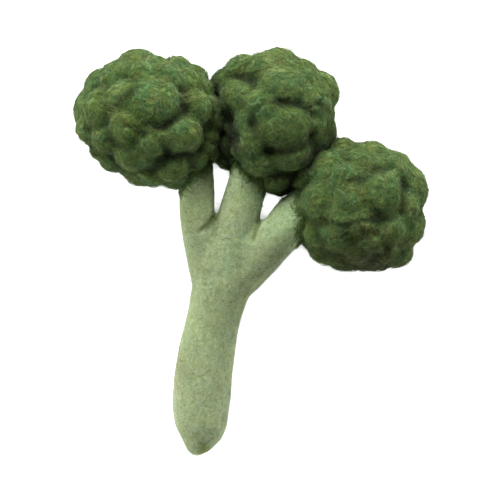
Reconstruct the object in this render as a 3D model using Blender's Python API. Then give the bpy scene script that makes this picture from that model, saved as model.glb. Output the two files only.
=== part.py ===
# A needle-felted wool broccoli, lying on a table as it does when it is put down.
# One pale green felted stem forks into three branches.
# A dark green head of felted balls sits on the end of each branch.
# X runs to the right and +Y from the stem's rounded end to the heads, seen from above. Metres, +Z up.
# The origin is the middle of the base that it lies on.

import math
import random

import bmesh
import bpy
from mathutils import Matrix, Vector

MM = 0.001  # every dimension below is in millimetres

# Fit between the pieces, and how far a head's wool flattens where it lies on the table
GAP = 0.35
HEAD_PRESS = 0.7

# The balls that cover a head
BALL_DETAIL = 3  # icosphere subdivisions
BALL_SWELL = 1.12  # a ball's full size, as a share of what shows of it between its creases
BALL_DRAW_IN = 0.96  # its middle's distance from the head's, as a share of where it seems to be
CORE_SHARE = 0.76  # the wool core's size, as a share of the head's
FILL_PLACES = 600  # places tried for the balls of the sides and underside, on a spiral round the head
FILL_RADIUS = (4.8, 6.6)
FILL_ROOM = 0.3  # a new ball's middle lies at least this far outside the balls that are already there
FILL_SEED = 11
CLEARING_ROUNDS = 6
GOLDEN_ANGLE = math.pi * (3 - math.sqrt(5))
HEAD_TRIANGLES = 3600

# The stem's rolls of wool
ROLL_SIDES = 24
ROLL_STEP = 3.6  # length between two rings
END_RINGS = 4  # rings that round off a roll's hidden end
STEM_TRIANGLES = 3000

# Each head: its middle in X and Y, how far it reaches from there in plan at every 30 degrees from +X, its
# half height, and the balls that show from above. Each ball is (x, y, half width, half height, lift), with
# x and y from the head's middle and the lift above the head's outer surface.
HEADS = {
    "head_left": {
        "middle": (-33.2, 43.7),
        "reach": (25.0, 23.3, 22.3, 21.7, 23.6, 24.0, 25.6, 22.4, 20.4, 22.2, 24.8, 24.2),
        "half_height": 23.0,
        "balls": [
            (-4.4, 18.0, 6.0, 5.4, 0.0),
            (-10.0, 13.2, 6.4, 5.8, 0.4),
            (8.9, 16.1, 4.9, 4.8, -1.5),
            (2.3, 16.6, 4.4, 4.2, 0.0),
            (11.9, 11.3, 5.4, 5.2, 0.0),
            (1.6, 4.6, 8.3, 7.8, 0.9),
            (-15.3, 3.2, 6.4, 6.4, 0.6),
            (-20.3, 2.8, 5.0, 6.8, -2.0),
            (-16.2, 11.2, 5.4, 5.2, -0.5),
            (19.3, 1.2, 5.8, 6.4, 1.0),
            (10.2, -5.2, 6.9, 6.4, 0.9),
            (-3.6, -10.2, 7.6, 6.9, 0.8),
            (-16.0, -7.8, 4.9, 5.2, -0.6),
            (-12.2, -12.4, 4.6, 4.6, -0.6),
            (-3.0, -17.0, 5.4, 4.6, -1.5),
            (9.3, -17.4, 6.6, 5.2, -1.0),
            (18.0, -10.0, 4.9, 5.0, -2.0),
            (15.6, -17.2, 4.6, 4.6, -4.5),
            (14.2, 13.6, 4.8, 4.8, -6.0),
        ],
    },
    "head_right": {
        "middle": (37.2, 15.5),
        "reach": (21.8, 22.2, 20.4, 19.8, 23.0, 22.6, 21.0, 22.5, 23.0, 22.6, 23.4, 22.8),
        "half_height": 21.5,
        "balls": [
            (-6.8, 17.2, 4.8, 4.8, -1.0),
            (3.0, 14.0, 6.8, 6.4, 0.0),
            (11.6, 12.4, 4.8, 4.8, -1.0),
            (15.2, 4.8, 6.3, 7.6, 0.4),
            (5.4, 3.2, 7.3, 6.9, 0.9),
            (-10.4, 10.8, 6.9, 6.5, 0.3),
            (-11.2, 0.9, 8.6, 6.4, 0.8),
            (-16.2, 8.4, 5.3, 5.6, -1.0),
            (-7.2, -10.7, 6.2, 4.8, 0.0),
            (3.0, -12.6, 4.4, 3.5, 0.6),
            (13.2, -8.6, 6.8, 5.3, 0.0),
            (1.4, -17.2, 5.6, 4.6, -1.0),
            (-11.8, -15.8, 4.8, 3.9, -1.5),
            (-16.3, -11.0, 3.9, 4.2, -2.5),
            (12.0, -16.0, 4.8, 4.6, -1.2),
        ],
    },
    "head_middle": {
        "middle": (7.5, 42.9),
        "reach": (19.7, 23.7, 22.8, 24.2, 24.8, 22.6, 18.4, 19.4, 19.6, 23.7, 23.2, 18.8),
        "half_height": 21.0,
        "balls": [
            (2.0, 18.6, 6.6, 5.9, -0.4),
            (-9.4, 16.7, 6.1, 5.5, -0.4),
            (-16.6, 12.6, 4.4, 4.6, -4.0),
            (-11.0, 7.5, 6.1, 5.6, 0.0),
            (2.6, 11.0, 7.2, 6.6, 0.0),
            (15.6, 10.2, 6.2, 6.2, -0.4),
            (9.8, 15.2, 5.4, 5.5, -0.6),
            (3.4, -1.7, 8.8, 6.6, 0.9),
            (15.1, -1.2, 5.0, 5.3, -0.4),
            (-8.6, -0.4, 4.6, 5.0, -0.4),
            (-9.4, -8.0, 4.4, 4.8, -0.6),
            (-3.8, -12.8, 5.8, 5.0, 0.0),
            (6.8, -11.4, 6.7, 4.6, 0.0),
            (2.6, -18.4, 6.0, 5.2, -0.6),
            (3.0, -20.6, 4.4, 3.9, -6.5),
            (14.8, -8.4, 4.4, 4.4, -3.0),
            (-14.6, -10.8, 4.8, 4.6, -9.0),
            (-14.2, -4.4, 4.9, 4.9, -12.5),
        ],
    },
}

# The stem's rolls: stations of (x, y, height of the middle, radius), from the free end into the head.
# The trunk goes on as the middle branch.
TRUNK = [
    (-18.2, -67.7, 8.6, 0.6),
    (-17.8, -66.8, 8.7, 2.9),
    (-17.2, -64.9, 8.8, 5.2),
    (-16.6, -62.4, 8.9, 7.0),
    (-16.4, -58.6, 9.0, 8.6),
    (-16.4, -52.0, 8.95, 9.5),
    (-15.8, -44.3, 9.6, 9.6),
    (-14.8, -36.0, 10.6, 9.4),
    (-13.6, -29.3, 11.5, 9.1),
    (-12.2, -22.7, 12.5, 8.8),
    (-10.6, -16.0, 13.5, 9.2),
    (-8.6, -9.3, 14.6, 9.8),
    (-6.4, -1.0, 15.9, 9.2),
    (-4.9, 6.6, 17.3, 7.9),
    (-3.4, 13.0, 18.7, 7.1),
    (-2.1, 17.3, 19.5, 6.7),
    (-0.9, 22.3, 20.1, 6.2),
    (0.6, 28.4, 20.4, 5.8),
    (2.0, 34.0, 20.5, 4.8),
]
LEFT_BRANCH = [
    (-11.6, -15.7, 13.6, 6.4),
    (-13.4, -5.3, 15.5, 6.8),
    (-15.3, 2.3, 16.9, 6.5),
    (-16.9, 9.0, 18.2, 6.0),
    (-17.5, 15.7, 19.4, 5.8),
    (-17.6, 22.3, 20.4, 5.6),
    (-18.4, 29.0, 21.2, 5.3),
    (-20.2, 33.5, 21.6, 4.6),
]
RIGHT_BRANCH = [
    (-8.2, -13.6, 14.2, 6.2),
    (-4.0, -8.6, 15.4, 7.4),
    (0.2, -3.7, 16.9, 8.0),
    (5.9, 3.0, 18.2, 8.2),
    (11.5, 8.1, 19.3, 7.7),
    (16.4, 12.4, 20.2, 7.0),
    (21.4, 15.8, 20.8, 6.3),
    (26.0, 17.2, 21.0, 5.0),
]
BRANCHES = {"left_branch": LEFT_BRANCH, "right_branch": RIGHT_BRANCH}

# The webs of wool that fill the two crotches of the fork: middle and half size
WEBS = {
    "left_web": ((-10.8, -2.5, 15.9), (8.6, 13.0, 8.4)),
    "right_web": ((-1.9, 0.2, 16.4), (7.6, 11.4, 8.6)),
}

# Colours of the two wools (linear RGB)
STEM_COLOUR = (0.29, 0.36, 0.18, 1.0)
HEAD_COLOUR = (0.055, 0.085, 0.028, 1.0)
WOOL_ROUGHNESS = 0.95
SHARP_DEGREES = 60


def clear_scene():
    for obj in list(bpy.data.objects):
        bpy.data.objects.remove(obj, do_unlink=True)


def new_object(name, bm, collection=None):
    mesh = bpy.data.meshes.new(name)
    bm.to_mesh(mesh)
    bm.free()
    obj = bpy.data.objects.new(name, mesh)
    (collection or bpy.context.scene.collection).objects.link(obj)
    return obj


def wool(name, colour):
    material = bpy.data.materials.new(name)
    material.use_nodes = True
    shader = material.node_tree.nodes["Principled BSDF"]
    shader.inputs["Base Color"].default_value = colour
    shader.inputs["Roughness"].default_value = WOOL_ROUGHNESS
    shader.inputs["Metallic"].default_value = 0.0
    return material


def apply_modifiers(obj):
    """The object's mesh becomes what its modifiers make of it."""
    graph = bpy.context.evaluated_depsgraph_get()
    made = bpy.data.meshes.new_from_object(obj.evaluated_get(graph))
    obj.modifiers.clear()
    obj.data = made


def add_boolean(obj, operation, other):
    modifier = obj.modifiers.new(operation.lower(), "BOOLEAN")
    modifier.operation = operation
    if isinstance(other, bpy.types.Collection):
        modifier.operand_type = "COLLECTION"
        modifier.collection = other
    else:
        modifier.object = other


def join_collection(obj, collection):
    """Fuses every object of the collection with obj, and removes them."""
    add_boolean(obj, "UNION", collection)
    apply_modifiers(obj)
    for other in list(collection.objects):
        bpy.data.objects.remove(other, do_unlink=True)
    bpy.data.collections.remove(collection)


def new_collection(name):
    collection = bpy.data.collections.new(name)
    bpy.context.scene.collection.children.link(collection)
    return collection


def reach(head, around):
    """How far the head's outer surface lies from its middle in plan, in this direction."""
    turn = around / math.tau * len(head["reach"])
    step = math.floor(turn)
    blend = (1 - math.cos(math.pi * (turn - step))) / 2
    here = head["reach"][step % len(head["reach"])]
    after = head["reach"][(step + 1) % len(head["reach"])]
    return here + (after - here) * blend


def head_centre(head):
    return Vector((*head["middle"], head["half_height"] - HEAD_PRESS))


def head_surface(head, direction):
    """The point of the head's outer surface in this direction, from the head's middle."""
    plan = reach(head, math.atan2(direction.y, direction.x))
    return Vector((direction.x * plan, direction.y * plan, direction.z * head["half_height"]))


def lump(name, centre, half, collection=None):
    """A round lump of wool with these half sizes. Its facets are turned by its place, so none line up."""
    bm = bmesh.new()
    bmesh.ops.create_icosphere(bm, subdivisions=BALL_DETAIL, radius=1.0)
    turn = Matrix.Rotation(centre.length, 3, centre.normalized())
    for vert in bm.verts:
        point = turn @ vert.co
        vert.co = Vector([(centre[i] + point[i] * half[i]) * MM for i in range(3)])
    return new_object(name, bm, collection)


def core(name, head):
    """The wool that the balls are felted on: the head's own shape, made smaller."""
    bm = bmesh.new()
    bmesh.ops.create_icosphere(bm, subdivisions=BALL_DETAIL, radius=1.0)
    for vert in bm.verts:
        vert.co = (head_centre(head) + head_surface(head, vert.co) * CORE_SHARE) * MM
    return new_object(name, bm)


def shown_balls(head):
    """The balls seen from above, each with its top on the head's outer surface or above it by its lift."""
    balls = []
    for x, y, half_width, half_height, lift in head["balls"]:
        half = Vector((half_width, half_height, (half_width + half_height) / 2)) * BALL_SWELL
        place = Vector((x, y, 0)) * BALL_DRAW_IN
        inner = reach(head, math.atan2(y, x)) - half.z
        share = min(place.length / inner, 1)
        place.z = (head["half_height"] - half.z) * math.sqrt(1 - share * share) + lift
        balls.append((head_centre(head) + place, half))
    return balls


def mean(half):
    return sum(half) / len(half)


def room(place, balls):
    """How far a place lies outside the nearest of these balls."""
    return min((place - centre).length - mean(half) for centre, half in balls)


def fill_balls(head, balls, rng):
    """Covers the rest of the head with balls of mixed sizes, each placed where the head is barest."""
    directions = [Vector((0, 0, -1))]  # the ball that the head lies on
    for step in range(FILL_PLACES):
        z = 1 - 2 * (step + 0.5) / FILL_PLACES
        ring = math.sqrt(1 - z * z)
        around = step * GOLDEN_ANGLE
        directions.append(Vector((ring * math.cos(around), ring * math.sin(around), z)))
    surface = [head_surface(head, direction) for direction in directions]
    filled = list(balls)
    barest = surface[0]
    while barest:
        radius = rng.uniform(*FILL_RADIUS)
        place = barest - barest.normalized() * radius
        filled.append((head_centre(head) + place, Vector((radius, radius, radius))))
        inner = [point - point.normalized() * mean(FILL_RADIUS) for point in surface]
        rooms = [room(head_centre(head) + point, filled) for point in inner]
        widest = max(rooms)
        barest = surface[rooms.index(widest)] if widest > FILL_ROOM else None
    return filled


def keep_clear(balls, neighbours):
    """Moves each ball straight away from the neighbouring heads' balls until it presses into none."""
    cleared = []
    for centre, half in balls:
        for _ in range(CLEARING_ROUNDS):
            for other, other_half in neighbours:
                short = max(half) + max(other_half) + GAP - (centre - other).length
                if short > 0:
                    centre = centre + (centre - other).normalized() * short
        cleared.append((centre, half))
    return cleared


def rounded_stations(stations):
    """Points along a roll's smooth middle line, as (point, radius), about one ring step apart."""
    points = [Vector(station) for station in stations]
    ends = [2 * points[0] - points[1], *points, 2 * points[-1] - points[-2]]
    made = []
    for i in range(1, len(ends) - 2):
        before, start, end, after = ends[i - 1 : i + 3]
        steps = max(1, round((end - start).to_3d().length / ROLL_STEP))
        for step in range(steps):
            t = step / steps
            made.append(
                0.5
                * (
                    2 * start
                    + (end - before) * t
                    + (2 * before - 5 * start + 4 * end - after) * t**2
                    + (3 * start - before - 3 * end + after) * t**3
                )
            )
    made.append(points[-1])
    return [(Vector(p[:3]), p[3]) for p in made]


def add_round_end(rings, first):
    """Rounds off a roll's first or last ring with a dome as long as half the ring's radius."""
    point, radius = rings[0] if first else rings[-1]
    inward = (rings[1][0] - point) if first else (rings[-2][0] - point)
    outward = -inward.normalized()
    dome = []
    for step in range(1, END_RINGS):
        angle = math.pi / 2 * step / END_RINGS
        dome.append((point + outward * radius / 2 * math.sin(angle), radius * math.cos(angle)))
    return [*reversed(dome), *rings] if first else [*rings, *dome]


def roll(name, stations, grow, collection=None):
    """A felted roll of wool: rings round a smooth line, closed to a point at each end."""
    rings = rounded_stations(stations)
    if stations is not TRUNK:
        rings = add_round_end(rings, first=True)
    rings = add_round_end(rings, first=False)
    bm = bmesh.new()
    loops = []
    side = Vector((1, 0, 0))
    for i, (point, radius) in enumerate(rings):
        ahead = rings[min(i + 1, len(rings) - 1)][0]
        behind = rings[max(i - 1, 0)][0]
        along = (ahead - behind).normalized()
        side = (side - along * side.dot(along)).normalized()
        up = along.cross(side)
        loop = []
        for k in range(ROLL_SIDES):
            angle = math.tau * k / ROLL_SIDES
            offset = (side * math.cos(angle) + up * math.sin(angle)) * (radius + grow)
            loop.append(bm.verts.new((point + offset) * MM))
        loops.append(loop)
    for lower, upper in zip(loops, loops[1:]):
        for k in range(ROLL_SIDES):
            after = (k + 1) % ROLL_SIDES
            bm.faces.new((lower[k], lower[after], upper[after], upper[k]))
    for loop, neighbour in ((loops[0], rings[1][0]), (loops[-1], rings[-2][0])):
        middle = sum((vert.co for vert in loop), Vector()) / ROLL_SIDES
        outward = (middle - neighbour * MM).normalized()
        tip = bm.verts.new(middle + outward * grow * MM)
        for k in range(ROLL_SIDES):
            bm.faces.new((loop[k], loop[(k + 1) % ROLL_SIDES], tip))
    bmesh.ops.recalc_face_normals(bm, faces=bm.faces)
    return new_object(name, bm, collection)


def flatten_underside(obj):
    """Cuts the object off flat at the table's height."""
    bm = bmesh.new()
    bm.from_mesh(obj.data)
    geometry = [*bm.verts, *bm.edges, *bm.faces]
    cut = bmesh.ops.bisect_plane(bm, geom=geometry, plane_co=(0, 0, 0), plane_no=(0, 0, -1), clear_outer=True)
    rim = [item for item in cut["geom_cut"] if isinstance(item, bmesh.types.BMEdge)]
    bmesh.ops.contextual_create(bm, geom=rim)
    bmesh.ops.recalc_face_normals(bm, faces=bm.faces)
    bm.to_mesh(obj.data)
    bm.free()


def thin_out(obj, triangles):
    """Brings the mesh down to about this many triangles."""
    count = sum(len(face.vertices) - 2 for face in obj.data.polygons)
    if count > triangles:
        modifier = obj.modifiers.new("thin_out", "DECIMATE")
        modifier.ratio = triangles / count
        apply_modifiers(obj)


def make_stem(name, grow=0.0):
    """The trunk and its branches, fused. With grow it is the stem's shape plus that much all round."""
    joined = new_collection(name + "_rolls")
    for branch, stations in BRANCHES.items():
        roll(f"{name}_{branch}", stations, grow, joined)
    for web, (middle, half) in WEBS.items():
        lump(f"{name}_{web}", Vector(middle), Vector(half) + Vector((grow, grow, grow)), joined)
    stem = roll(name, TRUNK, grow)
    join_collection(stem, joined)
    return stem


def make_head(name, balls):
    collection = new_collection(name + "_balls")
    for i, (centre, half) in enumerate(balls):
        lump(f"{name}_ball_{i}", centre, half, collection)
    head = core(name, HEADS[name])
    join_collection(head, collection)
    thin_out(head, HEAD_TRIANGLES)
    return head


def finish(obj, material):
    obj.data.materials.clear()
    obj.data.materials.append(material)
    obj.data.shade_smooth()
    obj.data.set_sharp_from_angle(angle=math.radians(SHARP_DEGREES))


def stand_on_origin(objects):
    """Moves every mesh so that the middle of the whole object's base is the origin."""
    corners = [vert.co for obj in objects for vert in obj.data.vertices]
    low = Vector([min(c[i] for c in corners) for i in range(3)])
    high = Vector([max(c[i] for c in corners) for i in range(3)])
    shift = Vector((-(low.x + high.x) / 2, -(low.y + high.y) / 2, -low.z))
    for obj in objects:
        obj.data.transform(Matrix.Translation(shift))


def main():
    clear_scene()
    rng = random.Random(FILL_SEED)
    balls = {}
    for name, head in HEADS.items():
        neighbours = [item for other in balls.values() for item in other]
        shown = keep_clear(shown_balls(head), neighbours)
        balls[name] = keep_clear(fill_balls(head, shown, rng), neighbours)
    heads = [make_head(name, balls[name]) for name in HEADS]
    socket_cutter = make_stem("socket_cutter", GAP)
    for head in heads:
        flatten_underside(head)
        add_boolean(head, "DIFFERENCE", socket_cutter)
        apply_modifiers(head)
    bpy.data.objects.remove(socket_cutter, do_unlink=True)
    stem = make_stem("stem")
    flatten_underside(stem)
    thin_out(stem, STEM_TRIANGLES)
    finish(stem, wool("pale_green_wool", STEM_COLOUR))
    dark_wool = wool("dark_green_wool", HEAD_COLOUR)
    for head in heads:
        finish(head, dark_wool)
    stand_on_origin([stem, *heads])


main()
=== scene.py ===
import math

import bmesh
import bpy
import numpy as np
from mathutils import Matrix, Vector
from mathutils.bvhtree import BVHTree


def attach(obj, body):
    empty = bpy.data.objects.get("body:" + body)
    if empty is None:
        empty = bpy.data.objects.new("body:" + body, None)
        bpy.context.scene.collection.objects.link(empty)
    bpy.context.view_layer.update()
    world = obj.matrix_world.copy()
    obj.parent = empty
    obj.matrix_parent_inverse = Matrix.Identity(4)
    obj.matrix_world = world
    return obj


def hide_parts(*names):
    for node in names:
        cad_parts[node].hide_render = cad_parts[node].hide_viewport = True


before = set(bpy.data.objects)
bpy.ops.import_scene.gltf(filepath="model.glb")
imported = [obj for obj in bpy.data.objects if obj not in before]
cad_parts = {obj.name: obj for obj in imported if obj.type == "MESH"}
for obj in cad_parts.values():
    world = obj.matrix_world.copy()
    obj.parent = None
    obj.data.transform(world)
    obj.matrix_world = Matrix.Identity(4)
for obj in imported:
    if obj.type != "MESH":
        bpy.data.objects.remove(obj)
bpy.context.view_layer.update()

mm = 0.001  # sizes in the dictionaries are in millimetres, but the studio's and lamps' are in metres
headNames = ["head_left", "head_middle", "head_right"]
print("frame loaded:", ", ".join(sorted(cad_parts)))


# Small helpers for node trees

def feed(tree, socket, value):
    if isinstance(value, bpy.types.NodeSocket):
        tree.links.new(value, socket)
    else:
        socket.default_value = value


def addNode(tree, kind, values=None, **settings):
    node = tree.nodes.new(kind)
    for name, value in settings.items():
        setattr(node, name, value)
    for key, value in (values or {}).items():
        feed(tree, node.inputs[key], value)
    return node


def calc(tree, operation, *values):
    node = addNode(tree, "ShaderNodeMath", dict(enumerate(values)), operation=operation)
    return node.outputs[0]


def vectorCalc(tree, operation, first, second):
    socket = "Scale" if operation == "SCALE" else 1
    node = addNode(tree, "ShaderNodeVectorMath", {0: first, socket: second}, operation=operation)
    return node.outputs["Value" if operation == "DISTANCE" else "Vector"]


def mixColours(tree, share, first, second, blendType="MIX"):
    node = addNode(tree, "ShaderNodeMix", data_type="RGBA", blend_type=blendType)
    for key, value in ((0, share), (6, first), (7, second)):
        feed(tree, node.inputs[key], value)
    return node.outputs[2]


def rampBetween(tree, value, low, high):
    # Eased from 0 at low to 1 at high, whichever of them is the larger
    node = addNode(tree, "ShaderNodeMapRange", {0: value, 1: low, 2: high},
                   interpolation_type="SMOOTHSTEP")
    return node.outputs[0]


def noise(tree, place, size, detail, roughness=0.5, distortion=0.0):
    # Cloudy noise with its largest clouds of about the size given in mm
    node = addNode(tree, "ShaderNodeTexNoise", {
        "Vector": place, "Scale": 1 / (size * mm), "Detail": detail, "Roughness": roughness,
        "Distortion": distortion})
    return node.outputs[0]


# Wool colours: sizes in mm, and how strongly each thing shows from 0 to 1

darkWool = {
    "moss": (0.098, 0.168, 0.032, 1),
    "blueGreen": (0.062, 0.160, 0.048, 1),
    "olive": (0.150, 0.178, 0.042, 1),
    "deep": (0.012, 0.017, 0.007, 1),
    "patchSize": 7.0,
    "lineSize": 1.5,
    "lineWidth": 0.032,
    "lightLines": 0.34,
    "darkLines": 0.40,
    "lineRelief": 0.6,
    "speckSize": 2.0,
    "speckStretch": (1, 1, 1),
    "speckDepth": 0.66,
    "grainSize": 0.35,
    "grain": 0.22,
    "light": (0.190, 0.255, 0.085, 1),
    "sheen": 0.40,
    "sheenTint": (0.85, 0.85, 0.65, 1),
    "places": [  # painted light and shade as (x, y, radius, tone), in mm as seen from above, such as the darker lower side of the right head
        (38.0, -5.0, 21.0, (0.60, 0.46, 0.48, 1)),
        (9.0, 38.0, 16.0, (0.80, 0.82, 0.76, 1)),
        (10.0, 65.0, 13.0, (1.34, 1.18, 1.28, 1)),
        (-38.0, 42.0, 15.0, (0.86, 0.88, 0.74, 1)),
        (35.0, 28.0, 13.0, (0.88, 0.88, 0.84, 1)),
    ],
}
paleWool = {
    "moss": (0.250, 0.312, 0.138, 1),
    "blueGreen": (0.215, 0.295, 0.148, 1),
    "olive": (0.220, 0.256, 0.102, 1),
    "deep": (0.095, 0.125, 0.035, 1),
    "patchSize": 6.0,
    "lineSize": 1.9,
    "lineWidth": 0.085,
    "lightLines": 0.38,
    "darkLines": 0.18,
    "lineRelief": 0.0,
    "speckSize": 2.0,
    "speckStretch": (0.6, 1.3, 1),
    "speckDepth": 0.55,
    "grainSize": 1.0,
    "grain": 0.50,
    "light": (0.375, 0.438, 0.260, 1),
    "sheen": 0.25,
    "sheenTint": (0.85, 0.88, 0.80, 1),
    # lighter and darker rounds on the branches and trunk, partly painted light and shade, and the olive tip
    # of the stem as wool tone
    "places": [
        (0.0, 20.0, 11.0, (0.72, 0.80, 0.72, 1)),
        (14.0, 9.0, 13.0, (1.22, 1.34, 1.30, 1)),
        (-20.0, 16.0, 10.0, (1.15, 1.18, 1.05, 1)),
        (-3.0, 2.0, 14.0, (0.84, 0.88, 0.86, 1)),
        (-14.0, -20.0, 26.0, (0.94, 0.96, 0.92, 1)),
        (-28.0, -38.0, 13.0, (0.76, 0.70, 0.64, 1)),
        (-15.6, -66.2, 3.5, (0.55, 0.60, 0.30, 1)),
    ],
}


def woolPatches(tree, wool, place):
    # Soft patches where the dyed wools were carded together unevenly
    patches = noise(tree, place, wool["patchSize"], 3.0, 0.6, 0.6)
    colour = mixColours(tree, rampBetween(tree, patches, 0.42, 0.60), wool["moss"], wool["blueGreen"])
    warm = noise(tree, place, wool["patchSize"] / 1.7, 4.0, 0.65, 1.0)
    colour = mixColours(tree, rampBetween(tree, warm, 0.50, 0.68), colour, wool["olive"])
    # Dark specks where the felt is open and the light gets lost in it
    stretched = addNode(tree, "ShaderNodeMapping", {"Vector": place, "Scale": wool["speckStretch"]})
    specks = noise(tree, stretched.outputs[0], wool["speckSize"], 5.0, 0.75, 0.7)
    speck = calc(tree, "MULTIPLY", rampBetween(tree, specks, 0.53, 0.36), wool["speckDepth"])
    colour = mixColours(tree, speck, colour, wool["deep"])
    # Light grain of the finest fibres
    grain = noise(tree, place, wool["grainSize"], 2.0, 0.8)
    grainShare = calc(tree, "MULTIPLY", rampBetween(tree, grain, 0.42, 0.66), wool["grain"])
    return mixColours(tree, grainShare, colour, wool["light"])


def curlyLines(tree, wool, place, turn):
    # Thin winding lines, the way single fibres lie on felt. Another turn gives other lines
    moved = addNode(tree, "ShaderNodeMapping", {
        "Vector": place, "Location": (turn * 0.31, turn * 0.17, turn * 0.23), "Rotation": (turn, turn, 0)})
    lines = noise(tree, moved.outputs[0], wool["lineSize"], 1.0, distortion=1.6)
    away = calc(tree, "ABSOLUTE", calc(tree, "SUBTRACT", lines, 0.5))
    return calc(tree, "SUBTRACT", 1.0, rampBetween(tree, away, 0.004, wool["lineWidth"]))


def shadeAndToneByPlace(tree, wool, place, colour):
    # Colour made lighter or darker in soft rounds as seen from above: painted light and shade where heads
    # and branches take more or less light, and a wool tone at the stem's tip
    flat = vectorCalc(tree, "MULTIPLY", place, (1, 1, 0))
    for x, y, radius, tone in wool["places"]:
        near = rampBetween(tree, vectorCalc(tree, "DISTANCE", flat, (x * mm, y * mm, 0)), radius * mm, 0.0)
        colour = mixColours(tree, near, colour, mixColours(tree, 1.0, colour, tone, "MULTIPLY"))
    return colour


# Painted crease shade: its torn edge, its ramp, and how strong it is on felt and strands
creaseDark = {"tornSize": 1.4, "torn": 0.6, "low": 0.05, "high": 1.05, "felt": 0.85, "strands": 0.80}
endWoolAndShade = {"raggedSize": 1.2, "ragged": 0.5, "low": 0.30, "high": 0.75}  # head wool lapping over the branch ends, and painted shade of the heads on them
feltFinish = {"lineTint": (0.75, 0.85, 0.55, 1), "lineTintShare": 0.45, "fuzzSize": 0.45, "roughness": 0.8,
              "bump": 0.6, "bumpHeight": 0.15, "specular": 0.15, "sheenRoughness": 0.35}
strandFinish = {"ownTone": 0.5, "roughness": 0.85, "specular": 0.2, "sheenRoughness": 0.35}


def creaseShadow(tree, place, strength):
    # Painted shade in the creases and where heads meet, with a torn edge
    crease = addNode(tree, "ShaderNodeAttribute", attribute_name="crease").outputs["Fac"]
    torn = noise(tree, place, creaseDark["tornSize"], 4.0, 0.7)
    shift = calc(tree, "MULTIPLY_ADD", torn, creaseDark["torn"], -creaseDark["torn"] / 2)
    shadow = rampBetween(tree, calc(tree, "ADD", crease, shift), creaseDark["low"], creaseDark["high"])
    return calc(tree, "MULTIPLY", shadow, strength)


def setFinish(shader, finish, wool, sheen):
    shader.inputs["Specular IOR Level"].default_value = finish["specular"]
    shader.inputs["Sheen Weight"].default_value = sheen
    shader.inputs["Sheen Roughness"].default_value = finish["sheenRoughness"]
    shader.inputs["Sheen Tint"].default_value = wool["sheenTint"]


def feltMaterial(name, wool, stemEnds=None):
    material = bpy.data.materials.new(name)
    material.use_nodes = True
    tree = material.node_tree
    shader = tree.nodes["Principled BSDF"]
    place = addNode(tree, "ShaderNodeTexCoord").outputs["Object"]
    colour = woolPatches(tree, wool, place)
    if stemEnds:
        # The branch ends near a head take the heads' moss colour: partly head wool lapping over, partly
        # painted shade from the heads
        nearHead = addNode(tree, "ShaderNodeAttribute", attribute_name="nearHead").outputs["Fac"]
        ragged = calc(tree, "SUBTRACT", noise(tree, place, endWoolAndShade["raggedSize"], 3.0), 0.5)
        reach = calc(tree, "ADD", nearHead, calc(tree, "MULTIPLY", ragged, endWoolAndShade["ragged"]))
        endWoolAndShadeShare = rampBetween(tree, reach, endWoolAndShade["low"], endWoolAndShade["high"])
        colour = mixColours(tree, endWoolAndShadeShare, colour, stemEnds["moss"])
    lines = curlyLines(tree, wool, place, 1.0)
    tinted = mixColours(tree, feltFinish["lineTintShare"], colour, feltFinish["lineTint"])
    colour = mixColours(tree, calc(tree, "MULTIPLY", lines, wool["lightLines"]), colour, tinted)
    dark = calc(tree, "MULTIPLY", curlyLines(tree, wool, place, 2.0), wool["darkLines"])
    colour = mixColours(tree, dark, colour, wool["deep"])
    colour = shadeAndToneByPlace(tree, wool, place, colour)
    # Painted shade in the creases and where heads meet
    colour = mixColours(tree, creaseShadow(tree, place, creaseDark["felt"]), colour, wool["deep"])
    tree.links.new(colour, shader.inputs["Base Color"])
    fuzz = noise(tree, place, feltFinish["fuzzSize"], 4.0, 0.7)
    least = feltFinish["roughness"]
    tree.links.new(calc(tree, "MULTIPLY_ADD", fuzz, 1 - least, least), shader.inputs["Roughness"])
    height = calc(tree, "MULTIPLY_ADD", lines, wool["lineRelief"], fuzz)
    bump = addNode(tree, "ShaderNodeBump", {
        "Height": height, "Strength": feltFinish["bump"], "Distance": feltFinish["bumpHeight"] * mm})
    tree.links.new(bump.outputs[0], shader.inputs["Normal"])
    setFinish(shader, feltFinish, wool, wool["sheen"])
    return material


def strandMaterial(name, wool, tints):
    # Loose fibres: the patches below them, shifted by each strand's own tone
    material = bpy.data.materials.new(name)
    material.use_nodes = True
    tree = material.node_tree
    shader = tree.nodes["Principled BSDF"]
    place = addNode(tree, "ShaderNodeTexCoord").outputs["Object"]
    tone = addNode(tree, "ShaderNodeAttribute", attribute_name="strandTone").outputs["Fac"]
    ramp = addNode(tree, "ShaderNodeValToRGB", {0: tone})
    ramp.color_ramp.elements[0].color = tints[0]
    ramp.color_ramp.elements[1].color = tints[-1]
    for i, tint in enumerate(tints[1:-1], 1):
        ramp.color_ramp.elements.new(i / (len(tints) - 1)).color = tint
    colour = mixColours(tree, strandFinish["ownTone"], woolPatches(tree, wool, place), ramp.outputs[0])
    colour = shadeAndToneByPlace(tree, wool, place, colour)
    # Painted crease shade on the strands too
    colour = mixColours(tree, creaseShadow(tree, place, creaseDark["strands"]), colour, wool["deep"])
    tree.links.new(colour, shader.inputs["Base Color"])
    shader.inputs["Roughness"].default_value = strandFinish["roughness"]
    setFinish(shader, strandFinish, wool, wool["sheen"] / 2)
    return material


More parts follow.
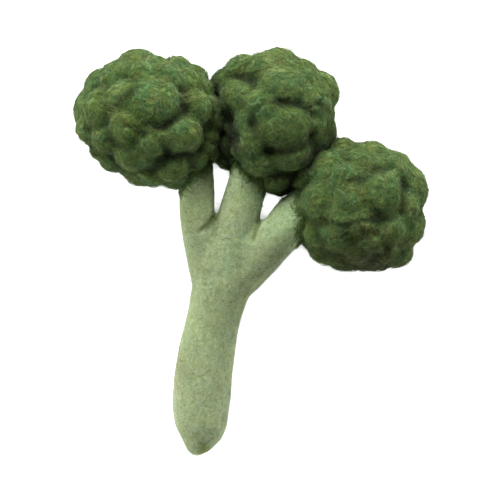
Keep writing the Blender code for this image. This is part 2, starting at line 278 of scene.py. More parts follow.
darkFelt = feltMaterial("darkGreenFelt", darkWool)
paleFelt = feltMaterial("paleGreenFelt", paleWool, darkWool)
darkStrands = strandMaterial("darkGreenFibres", darkWool, [
    (0.018, 0.028, 0.010, 1), (0.050, 0.100, 0.022, 1), (0.080, 0.168, 0.038, 1),
    (0.140, 0.192, 0.042, 1), (0.240, 0.310, 0.108, 1)])
paleStrands = strandMaterial("paleGreenFibres", paleWool, [
    (0.330, 0.390, 0.225, 1), (0.410, 0.470, 0.300, 1), (0.490, 0.550, 0.380, 1), (0.640, 0.690, 0.530, 1)])
whiteWool = dict(paleWool, moss=(0.62, 0.68, 0.52, 1), blueGreen=(0.58, 0.66, 0.54, 1), speckDepth=0.0)
whiteStrands = strandMaterial("whitishFibres", whiteWool, [(0.48, 0.56, 0.38, 1), (0.60, 0.68, 0.50, 1)])
lightStrands = strandMaterial("lightGreenFibres", darkWool, [(0.20, 0.26, 0.12, 1), (0.42, 0.50, 0.30, 1)])
print("materials made")


# Felt bodies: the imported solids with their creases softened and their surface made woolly

headFelt = {"voxel": 0.5, "softening": 12, "swell": 0.35, "lumpSize": 3.2, "lumpHeight": 0.55,
            "tuftSize": 0.9, "tuftHeight": 0.35, "envelopeFill": 5.0, "creaseDepth": 1.15}
headFills = {"head_left": 1.5, "head_middle": 1.8, "head_right": 2.2}  # how far wool closes the creases
stemFelt = {"voxel": 0.5, "fill": 0.4, "softening": 10, "swell": 0.12, "lumpSize": 6.0, "lumpHeight": 0.30,
            "tuftSize": 0.8, "tuftHeight": 0.05, "envelopeFill": 2.5, "creaseDepth": 2.0}
# Share of each crease that loose wool bridges, under 0 where it is drawn deeper, and softer places as
# (x, y, radius, share) in mm
bridging = {
    "stem": {"share": 0.0, "places": []},
    "head_left": {"share": -0.50, "places": [(-36.0, 60.0, 9.0, 0.7), (-52.0, 47.0, 7.0, 0.5)]},
    "head_middle": {"share": -0.20, "places": [(14.0, 57.0, 11.0, 0.85), (-3.0, 60.5, 7.0, 0.5),
                                               (28.0, 54.0, 8.0, 0.8)]},
    "head_right": {"share": -0.05, "places": [(29.0, 20.5, 9.5, 0.9), (43.5, 22.0, 8.0, 0.9),
                                              (38.0, 30.0, 8.0, 0.7)]},
}
creaseLines = {  # where the photo shows a crease: routes seen from above, in mm
    "head_left": [
        [(-43.5, 48.6), (-41.2, 50.2), (-39.6, 52.1), (-37.4, 53.4)],
        [(-42.4, 42.2), (-38.0, 40.2), (-34.6, 38.4), (-31.6, 39.8), (-28.4, 41.1), (-25.8, 43.0),
         (-23.4, 44.8)],
        [(-22.4, 49.2), (-21.6, 47.2), (-21.4, 45.4)],
        [(-30.0, 37.4), (-28.0, 33.4), (-26.0, 31.4), (-22.6, 32.0), (-18.4, 33.2), (-15.2, 34.8)],
        [(-27.4, 29.6), (-30.2, 28.0), (-33.4, 26.8), (-36.2, 27.4)],
        [(-47.4, 37.0), (-45.8, 35.6)],
        [(-46.8, 33.4), (-45.2, 32.0)],
        [(-15.8, 38.4), (-13.4, 36.6), (-9.6, 36.2)],
        [(-19.4, 29.0), (-17.8, 27.4)],
    ],
    "head_middle": [
        [(3.6, 48.0), (4.8, 50.4)],
        [(5.4, 49.6), (9.0, 49.4), (12.6, 48.8), (16.6, 48.0), (19.8, 46.8)],
        [(3.8, 48.2), (1.8, 46.4), (0.6, 43.4), (1.4, 39.0), (1.2, 36.4)],
        [(19.6, 40.8), (20.4, 37.4), (22.4, 34.6)],
        [(20.0, 49.4), (24.2, 48.0), (26.6, 45.8)],
        [(3.8, 34.2), (6.6, 33.4), (11.4, 32.4), (15.0, 33.6), (18.0, 35.6)],
        [(-6.2, 58.6), (-3.6, 57.6), (-1.0, 57.2), (0.8, 55.8)],
        [(-12.0, 54.0), (-9.6, 50.6), (-8.0, 47.0), (-7.2, 43.0)],
        [(4.8, 25.8), (8.6, 25.0), (12.4, 26.2)],
    ],
    "head_right": [
        [(30.6, 30.8), (33.4, 30.6)],
        [(31.4, 23.0), (34.8, 23.4), (37.4, 24.2), (39.8, 25.4), (40.8, 27.0), (43.4, 26.8),
         (45.2, 28.0), (47.4, 27.8)],
        [(50.2, 24.6), (50.2, 20.6), (50.6, 17.2), (50.2, 13.0)],
        [(24.8, 10.4), (27.6, 8.8), (31.6, 8.4), (34.0, 9.4), (38.2, 10.6), (41.6, 10.0), (46.6, 10.4)],
        [(36.6, 8.6), (37.6, 5.8)],
        [(44.2, 2.4), (45.8, -0.4), (42.6, -1.8), (40.4, -1.6)],
        [(26.0, -0.8), (29.8, -1.4)],
        [(20.6, 7.4), (23.8, 3.6), (23.8, 1.2)],
        [(40.4, 15.6), (42.4, 12.4)],
        [(53.4, 14.0), (55.2, 11.6)],
    ],
    "stem": [
        [(-11.9, 12.8), (-13.4, 10.2), (-15.2, 8.2), (-17.2, 6.4)],
        [(-11.9, 12.8), (-13.0, 9.6), (-14.6, 7.2)],
        [(3.4, 11.4), (2.2, 8.4), (1.2, 5.6), (0.8, 3.4)],
    ],
}
hollows = {  # wide places beside the next head, pushed in and darkened with painted shade
    "head_middle": [
        [(-8.4, 45.0), (-7.4, 40.0), (-6.8, 35.0), (-6.4, 30.0), (-5.8, 27.0)],
        [(26.0, 36.5), (22.5, 32.0), (18.5, 27.0), (15.0, 21.5)],
    ],
}
# Width and depth in mm of the pressed lines, and the darkness of the painted shade along them
narrowCrease = {"width": 1.3, "depth": 0.8, "darkness": 0.60}
stemCrease = {"width": 0.7, "depth": 0.7, "darkness": 1.0}
wideCrease = {"width": 3.0, "depth": 1.5, "darkness": 1.0}
betweenHeads = {  # how far from a next head the light is lost, in mm, and how dark it gets there
    "reach": {"head_left": 4.5, "head_middle": 8.5, "head_right": 2.5},
    "darkness": 0.9,
}
deepestGroove = 2.5  # a crease is drawn deeper in step with its own depth, counted up to this many mm
pulls = {  # where the felt is drawn a little to one side: place, reach and move in mm
    "head_left": [{"place": (-56.5, 37.5, 20.0), "reach": 7.0, "move": (2.4, 0.6, 0.0)}],
    "head_middle": [{"place": (24.5, 37.0, 22.0), "reach": 9.0, "move": (2.4, -1.2, 0.0)}],
    "stem": [{"place": (-15.5, -66.0, 9.0), "reach": 9.0, "move": (-1.6, -0.8, 0.0)},
             {"place": (4.3, 13.2, 19.0), "reach": 6.6, "move": (-0.8, -3.1, 0.0)},
             {"place": (-11.0, 14.8, 18.5), "reach": 5.6, "move": (-0.3, -2.4, 0.0)}],
    "head_right": [{"place": (18.0, 20.5, 18.0), "reach": 9.0, "move": (-3.6, 1.2, 0.0)}],
}


def cloudTexture(name, size):
    texture = bpy.data.textures.new(name, "CLOUDS")
    texture.noise_scale = size * mm
    texture.noise_depth = 1
    return texture


def bakedMesh(obj, name):
    graph = bpy.context.evaluated_depsgraph_get()
    mesh = bpy.data.meshes.new_from_object(obj.evaluated_get(graph))
    mesh.name = name
    return mesh


def linked(name, data):
    obj = bpy.data.objects.new(name, data)
    bpy.context.scene.collection.objects.link(obj)
    return obj


def readPoints(mesh):
    points = np.empty(len(mesh.vertices) * 3)
    mesh.vertices.foreach_get("co", points)
    return points.reshape(-1, 3)


def readNormals(mesh):
    normals = np.empty(len(mesh.vertices) * 3)
    mesh.vertices.foreach_get("normal", normals)
    return normals.reshape(-1, 3)


def movePoints(mesh, points):
    mesh.vertices.foreach_set("co", points.ravel())
    mesh.update()


def readShares(mesh, name):
    shares = np.empty(len(mesh.vertices))
    mesh.attributes[name].data.foreach_get("value", shares)
    return shares


def writeShares(mesh, name, shares):
    layer = mesh.attributes.get(name) or mesh.attributes.new(name, "FLOAT", "POINT")
    layer.data.foreach_set("value", np.asarray(shares, np.float32))


def spreadOver(mesh, values, rounds):
    # Each round gives every vertex the mean of its neighbours
    edges = np.empty(len(mesh.edges) * 2, int)
    mesh.edges.foreach_get("vertices", edges)
    a, b = edges.reshape(-1, 2).T
    count = np.bincount(a, minlength=len(values)) + np.bincount(b, minlength=len(values))
    for _ in range(rounds):
        total = np.stack([np.bincount(a, column[b], len(values)) + np.bincount(b, column[a], len(values))
                          for column in values.T], 1)
        values = total / count[:, None]
    return values


def smoothRoute(points, steps):
    # Catmull-Rom curve through the points
    ends = [points[0]] + points + [points[-1]]
    route = []
    for i in range(len(points) - 1):
        a, b, c, d = (np.array(p) for p in ends[i:i + 4])
        for t in np.arange(steps) / steps:
            route.append(0.5 * (2 * b + (c - a) * t + (2 * a - 5 * b + 4 * c - d) * t ** 2
                                + (3 * b - a - 3 * c + d) * t ** 3))
    return route + [np.array(points[-1])]


def meshTree(mesh):
    return BVHTree.FromPolygons([v.co for v in mesh.vertices], [p.vertices for p in mesh.polygons])


def keepLargestShell(mesh):
    # Air pockets that the closing shuts in are taken out
    bm = bmesh.new()
    bm.from_mesh(mesh)
    shells = []
    seen = set()
    for first in bm.verts:
        if first in seen:
            continue
        seen.add(first)
        shell = [first]
        for vert in shell:
            for edge in vert.link_edges:
                other = edge.other_vert(vert)
                if other not in seen:
                    seen.add(other)
                    shell.append(other)
        shells.append(shell)
    shells.sort(key=len)
    for vert in [vert for shell in shells[:-1] for vert in shell]:
        bm.verts.remove(vert)
    bm.to_mesh(mesh)
    bm.free()


def closedSkin(obj, felt, fill):
    # Wool bridges the narrow creases: grown outward, made one skin again, and drawn back in
    for step, push in (("grow", fill), ("shrink", felt["swell"] - fill)):
        remesh = obj.modifiers.new(step + "Skin", "REMESH")
        remesh.mode = "VOXEL"
        remesh.voxel_size = felt["voxel"] * mm
        smooth = obj.modifiers.new(step + "Soften", "SMOOTH")
        smooth.iterations = felt["softening"] // 2
        move = obj.modifiers.new(step, "DISPLACE")
        move.strength = push * mm
        move.mid_level = 0
    mesh = bakedMesh(obj, obj.name)
    obj.modifiers.clear()
    keepLargestShell(mesh)
    return mesh


def bridgeCreases(mesh, envelope, bridge, depth):
    # Draws the surface part of the way to its envelope, and returns how deep each vertex lay under it
    points = readPoints(mesh)
    tree = meshTree(envelope)
    normals = readNormals(mesh)
    nearest = np.array([tree.find_nearest(Vector(p))[0] for p in points])
    below = np.clip(((nearest - points) * normals).sum(1), 0, None)
    share = np.full(len(points), bridge["share"])
    for x, y, radius, most in bridge["places"]:
        away = np.hypot(points[:, 0] / mm - x, points[:, 1] / mm - y) / radius
        near = np.clip(1.5 - away, 0, 1) * np.clip(1.2 - away, 0, 1)  # eases out round the edge
        share = share + (most - share) * near
    bridged = (nearest - points) * (np.clip(share, 0, 1) * (below > 0))[:, None]
    deepened = normals * (np.clip(share, -1, 0) * np.clip(below, 0, deepestGroove * mm))[:, None]
    movePoints(mesh, points + spreadOver(mesh, bridged + deepened, 4))
    return np.clip(below / (depth * mm), 0, 1) * (1 - 0.7 * np.clip(share, 0, 1))


def pressCreaseLines(mesh, routes, creaseLine):
    # Needled lines: pushed in along the given routes, on the side that shows from above
    points = readPoints(mesh)
    normals = readNormals(mesh)
    share = np.zeros(len(points))
    for route in routes:
        line = np.array(smoothRoute(route, 6))
        fromEnd = np.minimum(np.arange(len(line)), np.arange(len(line))[::-1])
        for (x, y), strength in zip(line, np.clip(0.35 + fromEnd / 5, 0, 1)):  # a line fades at its ends
            away = np.hypot(points[:, 0] / mm - x, points[:, 1] / mm - y) / creaseLine["width"]
            share = np.maximum(share, strength * np.exp(-away ** 2))
    share *= np.clip(normals[:, 2] * 4 + 0.6, 0, 1) * (points[:, 2] > 8 * mm)
    movePoints(mesh, points - normals * (share * creaseLine["depth"] * mm)[:, None])
    # The pressed share, times the darkness, is painted shade along the line
    return share * creaseLine["darkness"]


def feltBody(node, name, felt, material):
    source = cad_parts[node].data.copy()
    bm = bmesh.new()
    bm.from_mesh(source)
    bmesh.ops.remove_doubles(bm, verts=bm.verts, dist=0.001 * mm)
    bm.to_mesh(source)
    bm.free()
    obj = linked(name, source)
    envelope = closedSkin(obj, felt, felt["envelopeFill"])
    mesh = closedSkin(obj, felt, felt["fill"])
    # Painted crease shade, stored as the crease attribute: darker the deeper the felt lies under its
    # envelope, along the pressed lines and in the hollows
    crease = bridgeCreases(mesh, envelope, bridging[node], felt["creaseDepth"])
    line = stemCrease if node == "stem" else narrowCrease
    crease = crease + pressCreaseLines(mesh, creaseLines[node], line)
    crease = np.clip(crease + pressCreaseLines(mesh, hollows.get(node, []), wideCrease), 0, 1)
    writeShares(mesh, "crease", spreadOver(mesh, crease[:, None], 3)[:, 0])
    obj.data = mesh
    for part in ("lump", "tuft"):
        push = obj.modifiers.new(part, "DISPLACE")
        push.texture = cloudTexture(name + part, felt[part + "Size"])
        push.strength = felt[part + "Height"] * mm
    obj.data = bakedMesh(obj, name)
    obj.modifiers.clear()
    points = readPoints(obj.data)
    for pull in pulls.get(node, []):
        away = np.linalg.norm(points - np.array(pull["place"]) * mm, axis=1) / (pull["reach"] * mm)
        points += (np.clip(1 - away ** 2, 0, 1) ** 2)[:, None] * np.array(pull["move"]) * mm
    points[:, 2] = np.maximum(points[:, 2], 0)  # flat where it lies on the table
    movePoints(obj.data, points)
    obj.data.materials.clear()
    obj.data.materials.append(material)
    obj.data.shade_smooth()
    print(name, len(obj.data.polygons), "faces")
    return obj


bodies = {node: feltBody(node, node + "_felt", dict(headFelt, fill=headFills[node]), darkFelt)
          for node in headNames}
bodies["stem"] = feltBody("stem", "stem_felt", stemFelt, paleFelt)


def nearness(mesh, trees, reach):
    # For each vertex 1 where it touches one of the other bodies, falling to 0 at the reach in mm
    shares = []
    for vertex in mesh.vertices:
        found = [tree.find_nearest(vertex.co, reach * mm)[3] for tree in trees]
        nearest = min((gap for gap in found if gap is not None), default=reach * mm)
        shares.append(1 - nearest / (reach * mm))
    return np.array(shares)


def darkenBetween(heads):
    # Little light gets in where two heads meet
    trees = [meshTree(head.data) for head in heads]
    for node, head, own in zip(headNames, heads, trees):
        near = nearness(head.data, [tree for tree in trees if tree is not own], betweenHeads["reach"][node])
        crease = np.maximum(readShares(head.data, "crease"), betweenHeads["darkness"] * near)
        writeShares(head.data, "crease", crease)


heads = [bodies[node] for node in headNames]
darkenBetween(heads)
cuff = {"fade": 5.0, "begin": 0.35, "stemEnd": 0.6}  # fade in mm; the others are shares of nearHead
nearHead = nearness(bodies["stem"].data, [meshTree(head.data) for head in heads], cuff["fade"])
writeShares(bodies["stem"].data, "nearHead", nearHead)
print("felt bodies made")


# Wool fibres: curly strands that hug a felt body, made by Geometry Nodes

arcBends = [0.7, 1.5, 2.4, 3.4, 4.4]  # turn of each kind of arc in radians, which Bend scales
doubleBend = {"height": 0.18, "length": 0.9}  # one more kind is bent both ways: shares of a strand's length
strandLengths = (0.55, 1.45)  # shortest and longest strand, as shares of Length
strandHeights = (0.3, 1.5)  # lowest and highest strand, as shares of Lift


def fibreTree():
    tree = bpy.data.node_groups.new("woolFibres", "GeometryNodeTree")
    tree.interface.new_socket("Geometry", in_out="INPUT", socket_type="NodeSocketGeometry")
    for name in ("Density", "Length", "Thickness", "Bend", "Curl", "CurlSize", "Lift", "Where"):
        kind = "NodeSocketString" if name == "Where" else "NodeSocketFloat"
        tree.interface.new_socket(name, in_out="INPUT", socket_type=kind)
    tree.interface.new_socket("Points", in_out="INPUT", socket_type="NodeSocketInt")
    tree.interface.new_socket("Seed", in_out="INPUT", socket_type="NodeSocketInt")
    tree.interface.new_socket("Material", in_out="INPUT", socket_type="NodeSocketMaterial")
    tree.interface.new_socket("Geometry", in_out="OUTPUT", socket_type="NodeSocketGeometry")
    given = tree.nodes.new("NodeGroupInput").outputs
    body = given["Geometry"]

    def rnd(low, high, seed):
        node = addNode(tree, "FunctionNodeRandomValue", {2: low, 3: high, "Seed": seed}, data_type="FLOAT")
        return node.outputs[1]

    def readAttribute(name):
        node = addNode(tree, "GeometryNodeInputNamedAttribute", {"Name": name}, data_type="FLOAT")
        return node.outputs[0]

    def onBody(value, kind):
        # The value at the nearest place on the body
        node = addNode(tree, "GeometryNodeSampleNearestSurface", {"Mesh": body, "Value": value},
                       data_type=kind)
        return node.outputs[0]

    def storeAttribute(geometry, name, value, domain):
        node = addNode(tree, "GeometryNodeStoreNamedAttribute", {
            "Geometry": geometry, "Name": name, "Value": value}, data_type="FLOAT", domain=domain)
        return node.outputs[0]

    def setPlace(geometry, socket, value):
        return addNode(tree, "GeometryNodeSetPosition", {"Geometry": geometry, socket: value}).outputs[0]

    turnSeed = calc(tree, "ADD", given["Seed"], 1.0)
    lengthSeed = calc(tree, "ADD", given["Seed"], 2.0)
    toneSeed = calc(tree, "ADD", given["Seed"], 3.0)
    kindSeed = calc(tree, "ADD", given["Seed"], 9.0)
    density = calc(tree, "MULTIPLY", given["Density"], readAttribute(given["Where"]))
    roots = addNode(tree, "GeometryNodeDistributePointsOnFaces", {
        "Mesh": body, "Density": density, "Seed": given["Seed"]})

    # Kinds of strand: arcs from slack to curly, and one bent both ways
    along = addNode(tree, "GeometryNodeSplineParameter").outputs["Factor"]
    shapes = []
    for bend in arcBends:
        turned = calc(tree, "MULTIPLY", given["Bend"], bend)
        angle = calc(tree, "MULTIPLY", calc(tree, "SUBTRACT", along, 0.5), turned)
        rise = calc(tree, "SUBTRACT", calc(tree, "COSINE", angle), 0.8)  # 0.8 keeps the arc near its root
        shapes.append((calc(tree, "DIVIDE", calc(tree, "SINE", angle), turned),
                       calc(tree, "DIVIDE", rise, turned)))
    wave = calc(tree, "SINE", calc(tree, "MULTIPLY", along, math.tau))
    swing = calc(tree, "MULTIPLY", given["Bend"], doubleBend["height"])
    span = doubleBend["length"]
    shapes.append((calc(tree, "MULTIPLY_ADD", along, span, -span / 2), calc(tree, "MULTIPLY", wave, swing)))
    line = addNode(tree, "GeometryNodeCurvePrimitiveLine", {
        "Direction": (1, 0, 0), "Length": given["Length"]}, mode="DIRECTION")
    straight = addNode(tree, "GeometryNodeResampleCurve", {
        "Curve": line.outputs[0], "Count": given["Points"]})
    strands = addNode(tree, "GeometryNodeJoinGeometry")
    for across, side in shapes:
        place = addNode(tree, "ShaderNodeCombineXYZ", {
            0: calc(tree, "MULTIPLY", across, given["Length"]),
            1: calc(tree, "MULTIPLY", side, given["Length"])})
        bent = setPlace(straight.outputs[0], "Position", place.outputs[0])
        single = addNode(tree, "GeometryNodeGeometryToInstance", {0: bent})
        tree.links.new(single.outputs[0], strands.inputs[0])

    # One strand at each root, of any kind and turned any way
    chosen = addNode(tree, "FunctionNodeRandomValue", {4: 0, 5: len(shapes) - 1, "Seed": kindSeed},
                     data_type="INT")
    turn = addNode(tree, "FunctionNodeAxisAngleToRotation", {
        "Axis": (0, 0, 1), "Angle": rnd(0.0, math.tau, turnSeed)})
    rotation = addNode(tree, "FunctionNodeRotateRotation", {
        0: roots.outputs["Rotation"], 1: turn.outputs[0]}, rotation_space="LOCAL")
    laid = addNode(tree, "GeometryNodeInstanceOnPoints", {
        "Points": roots.outputs["Points"], "Instance": strands.outputs[0], "Pick Instance": True,
        "Instance Index": chosen.outputs[2], "Rotation": rotation.outputs[0],
        "Scale": rnd(*strandLengths, lengthSeed)})
    toned = storeAttribute(laid.outputs[0], "strandTone", rnd(0.0, 1.0, toneSeed), "INSTANCE")
    curves = addNode(tree, "GeometryNodeRealizeInstances", {"Geometry": toned})

    # Curled by noise that is different for each strand, then pressed back onto the body
    tone = readAttribute("strandTone")
    position = addNode(tree, "GeometryNodeInputPosition").outputs[0]
    curls = addNode(tree, "ShaderNodeTexNoise", {
        "Vector": position, "W": calc(tree, "MULTIPLY", tone, 40.0),
        "Scale": calc(tree, "DIVIDE", 1.0, given["CurlSize"]), "Detail": 0.0}, noise_dimensions="4D")
    centred = vectorCalc(tree, "SUBTRACT", curls.outputs["Color"], (0.5, 0.5, 0.5))
    curled = setPlace(curves.outputs[0], "Offset", vectorCalc(tree, "SCALE", centred, given["Curl"]))
    nearest = addNode(tree, "GeometryNodeProximity", {0: body}, target_element="FACES")
    upward = onBody(addNode(tree, "GeometryNodeInputNormal").outputs[0], "FLOAT_VECTOR")
    arch = calc(tree, "SINE", calc(tree, "MULTIPLY", along, math.pi))
    hump = calc(tree, "MULTIPLY_ADD", arch, 1.25, -0.25)  # the ends dip into the felt
    lowest, highest = strandHeights
    ownShare = calc(tree, "FRACT", calc(tree, "MULTIPLY", tone, 7.31))  # stirs the tone into another share
    own = calc(tree, "MULTIPLY_ADD", ownShare, highest - lowest, lowest)
    height = calc(tree, "MULTIPLY", calc(tree, "MULTIPLY", hump, own), given["Lift"])
    lifted = vectorCalc(tree, "ADD", nearest.outputs[0], vectorCalc(tree, "SCALE", upward, height))
    aboveTable = vectorCalc(tree, "MAXIMUM", lifted, (-1, -1, 0.15 * mm))
    pressed = setPlace(curled, "Position", aboveTable)
    # Each strand takes the painted crease shade of the felt below it
    shaded = storeAttribute(pressed, "crease", onBody(readAttribute("crease"), "FLOAT"), "POINT")

    # Three-sided tubes, thickest in the middle
    radius = calc(tree, "MULTIPLY", given["Thickness"], calc(tree, "MULTIPLY_ADD", arch, 0.35, 0.15))
    profile = addNode(tree, "GeometryNodeCurvePrimitiveCircle", {"Resolution": 3, "Radius": 1.0})
    tube = addNode(tree, "GeometryNodeCurveToMesh", {
        "Curve": shaded, "Profile Curve": profile.outputs[0], "Scale": radius, "Fill Caps": True})
    whole = addNode(tree, "GeometryNodeRealizeInstances", {"Geometry": tube.outputs[0]})
    painted = addNode(tree, "GeometryNodeSetMaterial", {
        "Geometry": whole.outputs[0], "Material": given["Material"]})
    addNode(tree, "NodeGroupOutput", {"Geometry": painted.outputs[0]})
    return tree


woolFibres = fibreTree()


def areaOf(mesh, where):
    shares = readShares(mesh, where)
    return sum(p.area * shares[list(p.vertices)].mean() for p in mesh.polygons)


def growFibres(body, name, fibres, material):
    holder = linked(name, body.data)
    grower = holder.modifiers.new("fibres", "NODES")
    grower.node_group = woolFibres
    inputs = {
        "Density": fibres["count"] / areaOf(body.data, fibres["where"]),
        "Length": fibres["length"] * mm,
        "Thickness": fibres["thickness"] * mm,
        "Bend": fibres["bend"],
        "Curl": fibres["curl"] * mm,
        "CurlSize": fibres["curlSize"] * mm,
        "Lift": fibres["lift"] * mm,
        "Where": fibres["where"],
        "Points": fibres["points"],
        "Seed": fibres["seed"],
        "Material": material,
    }
    for item in woolFibres.interface.items_tree:
        if item.in_out == "INPUT" and item.name in inputs:
            grower[item.identifier] = inputs[item.name]
    mesh = bakedMesh(holder, name)
    bpy.data.objects.remove(holder)
    mesh.shade_smooth()
    print(name, sum(len(p.vertices) - 2 for p in mesh.polygons), "triangles")
    return linked(name, mesh)


coveredFelt = {"aboveTable": 0.2, "search": 1.2, "touching": 0.5}  # in mm


def markOpenFelt(body):
    # Fibres grow where the felt can be seen, and not where it lies on the table or inside another body
    points = readPoints(body.data)
    shares = np.where(points[:, 2] > coveredFelt["aboveTable"] * mm, 1.0, 0.0)
    trees = [meshTree(other.data) for other in bodies.values() if other is not body]
    for i, vertex in enumerate(body.data.vertices):
        for tree in trees:
            place, normal, _, gap = tree.find_nearest(vertex.co, coveredFelt["search"] * mm)
            if place is None:
                continue
            if gap < coveredFelt["touching"] * mm or (vertex.co - place).dot(normal) < 0:
                shares[i] = 0.0
    writeShares(body.data, "openFelt", shares)


for body in bodies.values():
    markOpenFelt(body)


def markCuff(stem):
    # The dark wool of the heads laps over the branch ends
    near = readShares(stem, "nearHead")
    bare = readShares(stem, "openFelt")
    writeShares(stem, "cuff", np.clip((near - cuff["begin"]) / (1 - cuff["begin"]), 0, 1) * bare)
    writeShares(stem, "openStem", bare * (near < cuff["stemEnd"]))


markCuff(bodies["stem"].data)
print("open felt marked")

headFine = {"where": "openFelt", "count": 4300, "points": 8, "length": 4.4, "thickness": 0.20, "bend": 1.0,
            "curl": 1.0, "curlSize": 2.0, "lift": 0.22, "seed": 10}
headLoose = {"where": "openFelt", "count": 3700, "points": 9, "length": 6.0, "thickness": 0.15, "bend": 1.0,
             "curl": 1.6, "curlSize": 2.8, "lift": 0.50, "seed": 40}
stemFine = {"where": "openStem", "count": 3000, "points": 7, "length": 4.5, "thickness": 0.08, "bend": 0.5,
            "curl": 0.8, "curlSize": 2.5, "lift": 0.015, "seed": 410}
stemLoose = {"where": "openStem", "count": 2200, "points": 9, "length": 6.5, "thickness": 0.08, "bend": 0.7,
             "curl": 1.6, "curlSize": 4.0, "lift": 0.03, "seed": 440}
longLight = {"where": "openFelt", "count": 20, "points": 16, "length": 11.0, "thickness": 0.08, "bend": 0.5,
             "curl": 3.0, "curlSize": 4.5, "lift": 0.60, "seed": 710}
cuffFibres = {"where": "cuff", "count": 1500, "points": 8, "length": 4.2, "thickness": 0.20, "bend": 0.8,
              "curl": 1.0, "curlSize": 1.9, "lift": 0.35, "seed": 510}
paleSlot = "pale_green_wool"
darkSlot = "dark_green_wool"
pieces = []
for i, node in enumerate(headNames):
    for label, fibres in (("fine", headFine), ("loose", headLoose)):
        own = dict(fibres, seed=fibres["seed"] + i * 100)
        pieces.append((growFibres(bodies[node], f"{node}_{label}_fibres", own, darkStrands), darkSlot))
for label, fibres in (("fine", stemFine), ("loose", stemLoose)):
    pieces.append((growFibres(bodies["stem"], f"stem_{label}_fibres", fibres, paleStrands), paleSlot))
pieces.append((growFibres(bodies["stem"], "branch_cuff_fibres", cuffFibres, darkStrands), darkSlot))
for i, (node, body) in enumerate(bodies.items()):
    own = dict(longLight, seed=longLight["seed"] + i)
    slot, material = (paleSlot, whiteStrands) if node == "stem" else (darkSlot, lightStrands)
    pieces.append((growFibres(body, node + "_long_fibres", own, material), slot))


# Stray fibres that the photo shows one by one: routes seen from above, in mm, laid onto the felt

strayFibres = {
    "whitish": [
        [(-10.0, 4.3), (-8.2, 5.4), (-6.8, 5.2), (-5.6, 4.8)],
        [(-9.4, 4.1), (-7.8, 4.9), (-6.4, 4.4), (-5.9, 2.7)],
        [(-10.6, 4.0), (-9.0, 4.6), (-7.6, 5.6), (-6.3, 5.7)],
        [(-11.1, 3.3), (-10.4, 2.2)],
        [(17.5, 25.8), (18.2, 27.0), (19.1, 27.9), (19.5, 27.0), (19.2, 25.6)],
        [(17.9, 25.6), (18.7, 27.2), (19.4, 27.6), (19.9, 26.4)],
        [(20.5, 11.8), (21.0, 10.6), (21.7, 9.7)],
        [(28.0, 20.9), (29.6, 20.2), (31.3, 19.0)],
        [(-21.3, -36.0), (-20.2, -38.0), (-19.1, -39.8), (-16.9, -40.9), (-14.8, -40.1), (-11.9, -39.3)],
        [(-20.9, -36.2), (-20.0, -37.9), (-18.8, -39.4)],
        [(-18.8, -39.9), (-16.5, -40.4), (-14.2, -38.9), (-12.2, -38.2)],
        [(-10.8, -55.3), (-9.1, -53.1), (-8.0, -52.6)],
    ],
    "tan": [
        [(-47.8, 48.8), (-45.9, 48.5), (-44.1, 47.6), (-42.0, 47.1)],
        [(-46.8, 48.2), (-45.2, 47.7), (-43.6, 46.9), (-42.6, 46.8)],
        [(-46.6, 47.2), (-44.9, 46.6), (-43.4, 46.6)],
    ],
    "leafGreen": [
        [(17.8, 4.7), (18.1, 3.2), (18.9, 1.2)],
        [(18.1, 4.5), (18.5, 3.0), (18.9, 1.4)],
        [(18.4, 4.1), (18.8, 2.8), (19.0, 1.6)],
        [(17.6, 4.0), (18.2, 2.8), (18.8, 1.5)],
        [(18.7, 3.9), (18.9, 2.9), (19.1, 1.3)],
    ],
    "bluish": [
        [(-6.9, -43.8), (-7.3, -46.0), (-6.9, -48.4), (-7.2, -50.6)],
        [(-7.6, -45.2), (-6.8, -47.2), (-7.4, -49.6)],
        [(-10.4, -56.4), (-9.0, -55.2), (-8.2, -53.2)],
        [(-9.8, -58.2), (-8.6, -56.4), (-8.2, -54.4), (-7.8, -52.2)],
        [(-12.0, -61.0), (-10.4, -60.0), (-9.6, -58.0)],
        [(-9.2, -53.6), (-8.2, -52.0), (-7.9, -50.0)],
    ],
}
strayColours = {"whitish": (0.42, 0.49, 0.34, 1), "tan": (0.30, 0.24, 0.10, 1),
                "leafGreen": (0.20, 0.33, 0.09, 1), "bluish": (0.24, 0.31, 0.29, 1)}
strayShape = {"thickness": 0.15, "lift": 0.35, "steps": 7, "roughness": 0.8}


def strayPiece(name, routes, colour):
    trees = [meshTree(body.data) for body in bodies.values()]
    curve = bpy.data.curves.new(name, "CURVE")
    curve.dimensions = "3D"
    curve.bevel_depth = strayShape["thickness"] / 2 * mm
    curve.bevel_resolution = 1
    curve.use_fill_caps = True
    for points in routes:
        route = smoothRoute(points, strayShape["steps"])
        spline = curve.splines.new("POLY")
        spline.points.add(len(route) - 1)
        for i, (x, y) in enumerate(route):
            hits = [tree.ray_cast(Vector((x * mm, y * mm, 0.1)), Vector((0, 0, -1)))[0] for tree in trees]
            top = max(hit.z for hit in hits if hit is not None)
            arch = math.sin(math.pi * i / (len(route) - 1))
            spline.points[i].co = (x * mm, y * mm, top + (strayShape["lift"] * arch - 0.05) * mm, 1)
            spline.points[i].radius = 0.35 + 0.65 * arch
    holder = linked(name, curve)
    mesh = bakedMesh(holder, name)
    bpy.data.objects.remove(holder)
    material = bpy.data.materials.new(name)
    material.use_nodes = True
    shader = material.node_tree.nodes["Principled BSDF"]
    shader.inputs["Base Color"].default_value = colour
    shader.inputs["Roughness"].default_value = strayShape["roughness"]
    mesh.materials.clear()
    mesh.materials.append(material)
    mesh.shade_smooth()
    return linked(name, mesh)


for label, routes in strayFibres.items():
    slot = paleSlot if label in ("whitish", "bluish") else darkSlot
    pieces.append((strayPiece(label + "_stray_fibres", routes, strayColours[label]), slot))
print("fibres grown")

for node, body in bodies.items():
    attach(body, "root")
    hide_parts(node)
for piece, slot in pieces:
    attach(piece, "root")


# Table, lights and camera

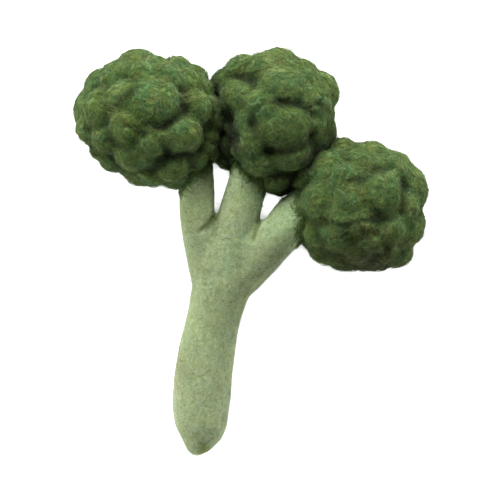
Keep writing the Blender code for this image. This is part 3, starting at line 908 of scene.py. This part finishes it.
studio = {
    "floorSize": 3.0,
    "floorColour": (0.86, 0.86, 0.855, 1),
    "lightDistance": 1.2,
    "skyColour": (1.0, 1.0, 1.0, 1),
    "skyStrength": 0.10,
}
lamps = {  # azimuth from +X and height in degrees, size in metres, power in watts
    "key": {"azimuth": 103, "height": 33, "size": 0.5, "power": 21.0},
    "left": {"azimuth": 185, "height": 22, "size": 0.5, "power": 6.8},
    "right": {"azimuth": 30, "height": 24, "size": 0.5, "power": 9.5},
    "front": {"azimuth": 260, "height": 25, "size": 0.5, "power": 3.5},
    "table": {"azimuth": 0, "height": 90, "size": 0.3, "power": 22.0, "floorOnly": True},
}
view = {"middle": (-0.167, 0.667), "distance": 1500.0, "focusHeight": 20.0, "frameWidth": 500 / 3,
        "sensor": 36.0}  # mm, seen from straight above


def makeFloor():
    bm = bmesh.new()
    bmesh.ops.create_grid(bm, x_segments=1, y_segments=1, size=studio["floorSize"] / 2)
    mesh = bpy.data.meshes.new("floor")
    bm.to_mesh(mesh)
    bm.free()
    floor = linked("floor", mesh)
    material = bpy.data.materials.new("paleFloor")
    material.use_nodes = True
    shader = material.node_tree.nodes["Principled BSDF"]
    shader.inputs["Base Color"].default_value = studio["floorColour"]
    shader.inputs["Roughness"].default_value = 0.9
    mesh.materials.append(material)
    return floor


def addLamp(name, lamp, floor):
    light = bpy.data.lights.new(name, "AREA")
    light.energy = lamp["power"]
    light.size = lamp["size"]
    obj = linked(name, light)
    turn, rise = math.radians(lamp["azimuth"]), math.radians(lamp["height"])
    towards = Vector((math.cos(turn) * math.cos(rise), math.sin(turn) * math.cos(rise), math.sin(rise)))
    obj.location = towards * studio["lightDistance"]
    obj.rotation_euler = (-towards).to_track_quat("-Z", "Y").to_euler()
    if lamp.get("floorOnly"):
        obj.light_linking.receiver_collection = bpy.data.collections.new(name)
        obj.light_linking.receiver_collection.objects.link(floor)


def makeCamera():
    camera = bpy.data.cameras.new("camera")
    camera.sensor_width = view["sensor"]
    camera.lens = view["sensor"] * (view["distance"] - view["focusHeight"]) / view["frameWidth"]
    camera.clip_start = 0.05
    camera.clip_end = 20
    obj = linked("camera", camera)
    obj.location = (view["middle"][0] * mm, view["middle"][1] * mm, view["distance"] * mm)
    bpy.context.scene.camera = obj


floor = makeFloor()
for name, lamp in lamps.items():
    addLamp(name, lamp, floor)
world = bpy.data.worlds.new("studio")
world.use_nodes = True
world.node_tree.nodes["Background"].inputs[0].default_value = studio["skyColour"]
world.node_tree.nodes["Background"].inputs[1].default_value = studio["skyStrength"]
bpy.context.scene.world = world
bpy.context.scene.view_settings.view_transform = "Standard"
makeCamera()
print("studio ready")
